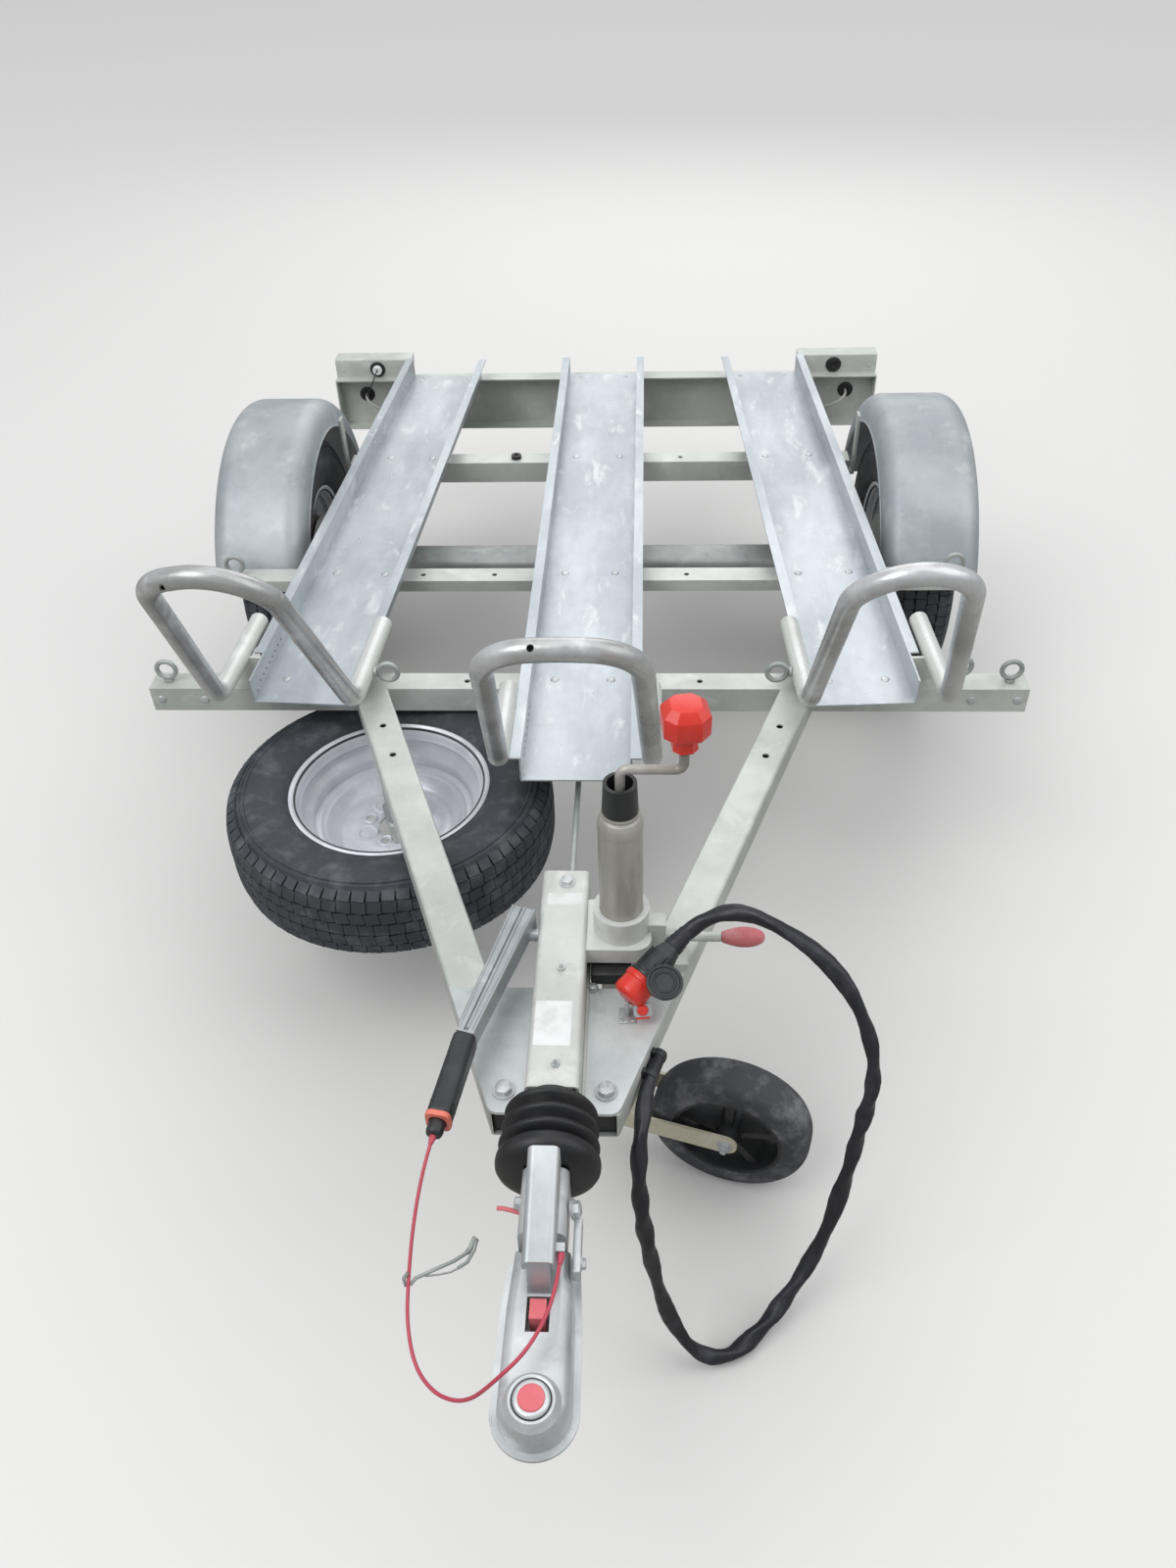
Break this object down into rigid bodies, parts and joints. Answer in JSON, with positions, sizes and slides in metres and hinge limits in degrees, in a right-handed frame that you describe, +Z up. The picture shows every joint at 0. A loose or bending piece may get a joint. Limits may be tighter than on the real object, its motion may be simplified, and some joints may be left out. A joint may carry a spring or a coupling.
{
  "type": "motorcycle trailer",
  "caption": "Galvanised motorcycle trailer with channel rails, tubular wheel hoops, mudguards, spare wheel, braked overrun coupling and jockey wheel.",
  "frame": {"origin": "on the floor, midway along the length and on the centre line", "axes": "+Y rearwards along the length, +Z up, +X to the right as seen from in front, looking rearwards"},
  "size_m": [1.63, 2.807, 0.9279],
  "materials": {
    "galvanised": "hot-dip galvanised steel, dull grey with faint spangle",
    "zinc_bright": "bright zinc plate, worn",
    "rim_silver": "silver paint",
    "tyre_rubber": "aged tyre rubber",
    "jockey_rubber": "scuffed solid rubber",
    "black_rubber": "moulded rubber",
    "black_plastic": "moulded plastic",
    "cable_wrap": "taped cable sleeve",
    "red_cable": "plastic-coated wire",
    "red_plastic": "moulded red plastic",
    "faded_grip": "sun-faded red plastic",
    "lamp_lens": "red lamp lens",
    "cast_dark": "cast iron with light rust"
  },
  "bodies": {
    "chassis": {"axle_beam": "galvanised", "bellows": "black_rubber", "brake_rod": "galvanised", "breakaway_cable": "red_cable", "cable_plug": "black_plastic", "clamp_grip": "faded_grip", "coupling_buttons": "red_plastic", "coupling_handle": "zinc_bright", "coupling_head": "zinc_bright", "coupling_shaft": "zinc_bright", "crossbar_front": "galvanised", "crossbar_second": "galvanised", "crossbar_third": "galvanised", "drawbar_left": "galvanised", "drawbar_right": "galvanised", "eye_bolts": "zinc_bright", "handbrake_grip": "black_plastic", "handbrake_lever": "zinc_bright", "handbrake_trim": "red_plastic", "hitch_plate": "galvanised", "hoop_brackets": "galvanised", "hoop_centre": "galvanised", "hoop_left": "galvanised", "hoop_right": "galvanised", "jockey_clamp": "galvanised", "jockey_collar": "black_plastic", "jockey_column": "galvanised", "jockey_knob": "red_plastic", "lamp_plates": "galvanised", "main_cable": "cable_wrap", "mudguard_left": "galvanised", "mudguard_right": "galvanised", "mudguard_stays": "galvanised", "overrun_housing": "zinc_bright", "plug_socket": "red_plastic", "rail_centre": "galvanised", "rail_left": "galvanised", "rail_right": "galvanised", "rear_beam": "galvanised", "rubber_stopper": "black_rubber", "side_members": "galvanised", "spare_carrier": "galvanised", "spare_rim": "rim_silver", "spare_tyre": "tyre_rubber", "swing_arm_left": "galvanised", "swing_arm_right": "galvanised", "tail_lamps": "lamp_lens"},
    "wheel_left": {"tyre_left": "tyre_rubber", "rim_left": "rim_silver", "brake_drum_left": "cast_dark"},
    "wheel_right": {"tyre_right": "tyre_rubber", "rim_right": "rim_silver", "brake_drum_right": "cast_dark"},
    "jockey_slider": {"jockey_nut": "galvanised"},
    "jockey_fork": {"jockey_leg": "galvanised", "jockey_fork": "galvanised"},
    "jockey_wheel": {"jockey_tyre": "jockey_rubber", "jockey_core": "black_plastic"}
  },
  "joints": [
    {"name": "wheel_left_spin", "type": "hinge", "parent": "chassis", "child": "wheel_left", "pos_m": [-0.715, 0.6805, 0.289], "axis": [1, 0, 0], "continuous": true},
    {"name": "wheel_right_spin", "type": "hinge", "parent": "chassis", "child": "wheel_right", "pos_m": [0.715, 0.6805, 0.289], "axis": [1, 0, 0], "continuous": true},
    {"name": "jockey_lift", "type": "slide", "parent": "chassis", "child": "jockey_slider", "axis": [0, 0, 1], "range_m": [0, 0.15]},
    {"name": "jockey_swivel", "type": "hinge", "parent": "jockey_slider", "child": "jockey_fork", "pos_m": [0.082, -0.7265, 0.3], "axis": [0, 0, 1], "continuous": true},
    {"name": "jockey_wheel_spin", "type": "hinge", "parent": "jockey_fork", "child": "jockey_wheel", "pos_m": [0.2531, -0.77556, 0.127], "axis": [0.2756, 0.9613, 0], "continuous": true}
  ]
}
